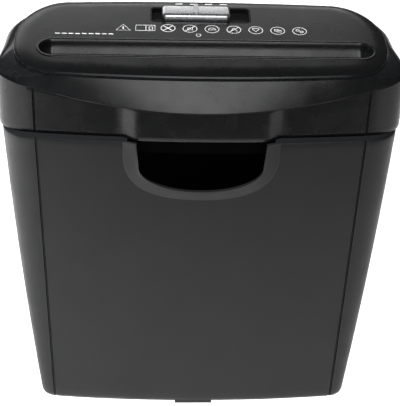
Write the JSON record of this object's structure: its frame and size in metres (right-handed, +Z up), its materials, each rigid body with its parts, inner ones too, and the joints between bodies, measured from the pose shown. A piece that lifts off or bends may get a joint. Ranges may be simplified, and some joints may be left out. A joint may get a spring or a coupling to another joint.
{
  "type": "paper shredder",
  "caption": "Strip-cut paper shredder: cutting head with feed slot and mode slider standing on a tapered open bin with a finger window.",
  "frame": {"origin": "on the floor under the middle of the bounding box", "axes": "+Z up, front of the shredder towards -Y, +X to the right seen from the front"},
  "size_m": [0.2926, 0.1254, 0.3104],
  "materials": {
    "black_plastic": "fine grained satin",
    "panel_plastic": "satin",
    "silver_paint": "satin silver",
    "white_nylon": "moulded nylon",
    "zinc_steel": "zinc plated",
    "cutter_steel": "ground steel",
    "bronze": "sintered bronze",
    "grey_plastic": "moulded",
    "board_green": "solder mask",
    "film_yellow": "moulded",
    "relay_black": "moulded",
    "switch_blue": "moulded"
  },
  "bodies": {
    "bin": {"bin": "black_plastic"},
    "head": {"base_plate": "black_plastic", "lower_housing": "black_plastic", "upper_housing": "black_plastic", "top_panel": "panel_plastic", "feed_guide": "panel_plastic", "switch_well": "black_plastic", "slide_switch_body": "grey_plastic", "left_side_plate": "zinc_steel", "right_side_plate": "zinc_steel", "tie_rods": "zinc_steel", "tie_rod_nuts": "zinc_steel", "shaft_bushings": "bronze", "front_stripper_comb": "grey_plastic", "rear_stripper_comb": "grey_plastic", "gear_axles": "zinc_steel", "gear_cover": "grey_plastic", "motor_can": "zinc_steel", "motor_end_cap": "grey_plastic", "sensor_pin": "zinc_steel", "sensor_switch": "switch_blue", "interlock_switch": "switch_blue", "control_board": "board_green", "board_capacitor": "film_yellow", "board_relay": "relay_black", "terminal_block": "board_green", "housing_screws": "zinc_steel", "cord_gland": "black_plastic"},
    "mode_switch": {"mode_knob": "silver_paint", "slider_carriage": "white_nylon", "switch_actuator": "bronze"},
    "rear_cutter": {"rear_cutter_shaft": "cutter_steel", "rear_cutters": "cutter_steel", "rear_spacers": "zinc_steel", "sync_gear_rear": "cutter_steel", "drive_gear": "white_nylon"},
    "front_cutter": {"front_cutter_shaft": "cutter_steel", "front_cutters": "cutter_steel", "front_spacers": "zinc_steel", "sync_gear_front": "cutter_steel"},
    "reduction_two": {"reduction_gear_2": "white_nylon"},
    "reduction_one": {"reduction_gear_1": "white_nylon"},
    "rotor": {"motor_shaft": "cutter_steel", "motor_pinion": "bronze", "cooling_fan": "white_nylon"},
    "paper_sensor": {"sensor_lever": "white_nylon"},
    "interlock": {"interlock_plunger": "white_nylon"}
  },
  "joints": [
    {"name": "head_lift", "type": "slide", "parent": "bin", "child": "head", "axis": [0, 0, 1], "range_m": [0, 0.11]},
    {"name": "mode_slide", "type": "slide", "parent": "head", "child": "mode_switch", "axis": [1, 0, 0], "range_m": [-0.0068, 0.0136]},
    {"name": "rear_cutter_spin", "type": "hinge", "parent": "head", "child": "rear_cutter", "pos_m": [0, -0.0026, 0.257], "axis": [1, 0, 0], "continuous": true},
    {"name": "front_cutter_spin", "type": "hinge", "parent": "head", "child": "front_cutter", "pos_m": [0, -0.0296, 0.257], "axis": [1, 0, 0], "continuous": true},
    {"name": "reduction_two_spin", "type": "hinge", "parent": "head", "child": "reduction_two", "pos_m": [0, 0.02338, 0.25608], "axis": [1, 0, 0], "continuous": true},
    {"name": "reduction_one_spin", "type": "hinge", "parent": "head", "child": "reduction_one", "pos_m": [0, 0.0174, 0.276], "axis": [1, 0, 0], "continuous": true},
    {"name": "rotor_spin", "type": "hinge", "parent": "head", "child": "rotor", "pos_m": [0, 0.03554, 0.26771], "axis": [1, 0, 0], "continuous": true},
    {"name": "paper_sensor_swing", "type": "hinge", "parent": "head", "child": "paper_sensor", "pos_m": [0, -0.0061, 0.2815], "axis": [1, 0, 0], "range_deg": [0, 24], "stiffness_Nm_per_rad": 0.0006, "springref_deg": -28.65},
    {"name": "interlock_press", "type": "slide", "parent": "head", "child": "interlock", "axis": [0, 0, 1], "range_m": [0, 0.0015], "stiffness_N_per_m": 60, "springref_m": -0.004}
  ],
  "couplings": [
    {"joint": "front_cutter_spin", "follows": "rear_cutter_spin", "ratio": -1},
    {"joint": "reduction_two_spin", "follows": "rear_cutter_spin", "ratio": -3.3333},
    {"joint": "reduction_one_spin", "follows": "rear_cutter_spin", "ratio": 11.111},
    {"joint": "rotor_spin", "follows": "rear_cutter_spin", "ratio": -41.667}
  ]
}
